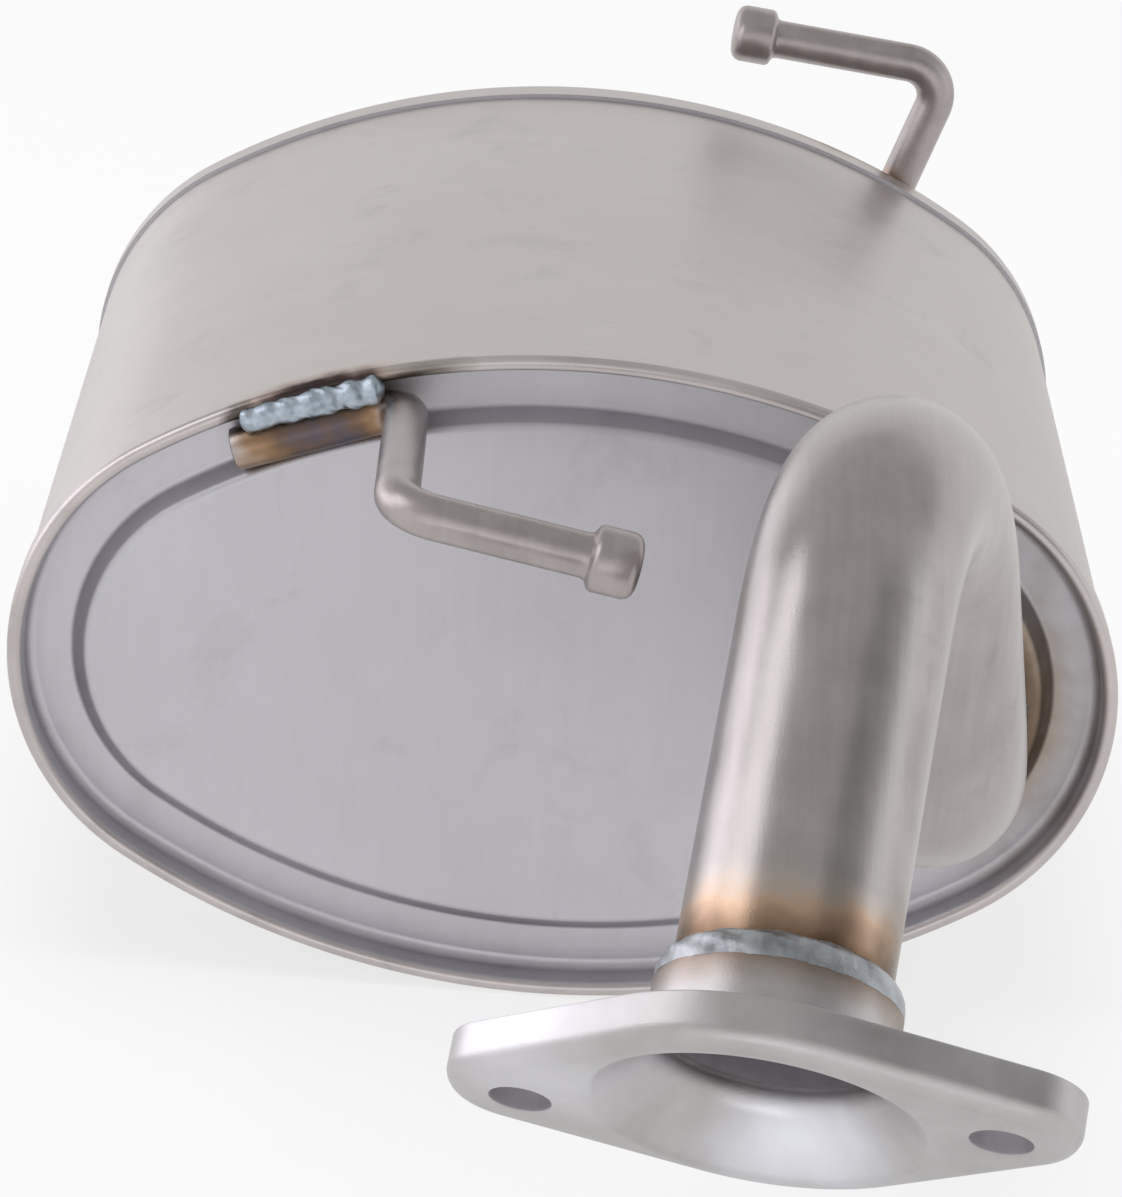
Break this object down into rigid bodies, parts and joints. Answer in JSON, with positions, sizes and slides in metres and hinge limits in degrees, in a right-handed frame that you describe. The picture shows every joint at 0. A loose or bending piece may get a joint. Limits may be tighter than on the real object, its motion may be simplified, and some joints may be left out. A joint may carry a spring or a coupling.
{
  "type": "muffler",
  "caption": "Oval exhaust muffler with lock-seamed end plates, a gooseneck inlet pipe with a pressed bolt flange, an outlet spigot and rod hangers.",
  "frame": {"origin": "middle of the inlet flange's gasket face", "axes": "+Y along the can from the inlet end plate to the outlet end plate, +X along the can's wide axis, +Z to its upper side"},
  "size_m": [0.256, 0.5246, 0.1912],
  "materials": {
    "shell_steel": "satin rolled sheet",
    "plate_steel": "satin pressed sheet",
    "pipe_steel": "satin drawn tube",
    "flange_steel": "blasted pressed plate",
    "hanger_steel": "satin round bar",
    "weld_metal": "rippled weld bead",
    "inner_steel": "mill finish sheet",
    "packing_wool": "loose mineral wool"
  },
  "bodies": {
    "root": {"shell_outer_wrap": "shell_steel", "shell_inner_wrap": "inner_steel", "shell_seam_weld": "weld_metal", "front_end_plate": "plate_steel", "rear_end_plate": "plate_steel", "front_baffle": "inner_steel", "rear_baffle": "inner_steel", "inlet_tube": "inner_steel", "return_tube": "inner_steel", "outlet_tube": "inner_steel", "absorption_wool": "packing_wool", "inlet_pipe": "pipe_steel", "outlet_pipe": "pipe_steel", "inlet_flange": "flange_steel", "flange_weld": "weld_metal", "inlet_pipe_weld": "weld_metal", "outlet_pipe_weld": "weld_metal", "front_hanger_rod": "hanger_steel", "rear_hanger_rod": "hanger_steel", "front_hanger_weld": "weld_metal", "rear_hanger_weld": "weld_metal"}
  },
  "joints": []
}
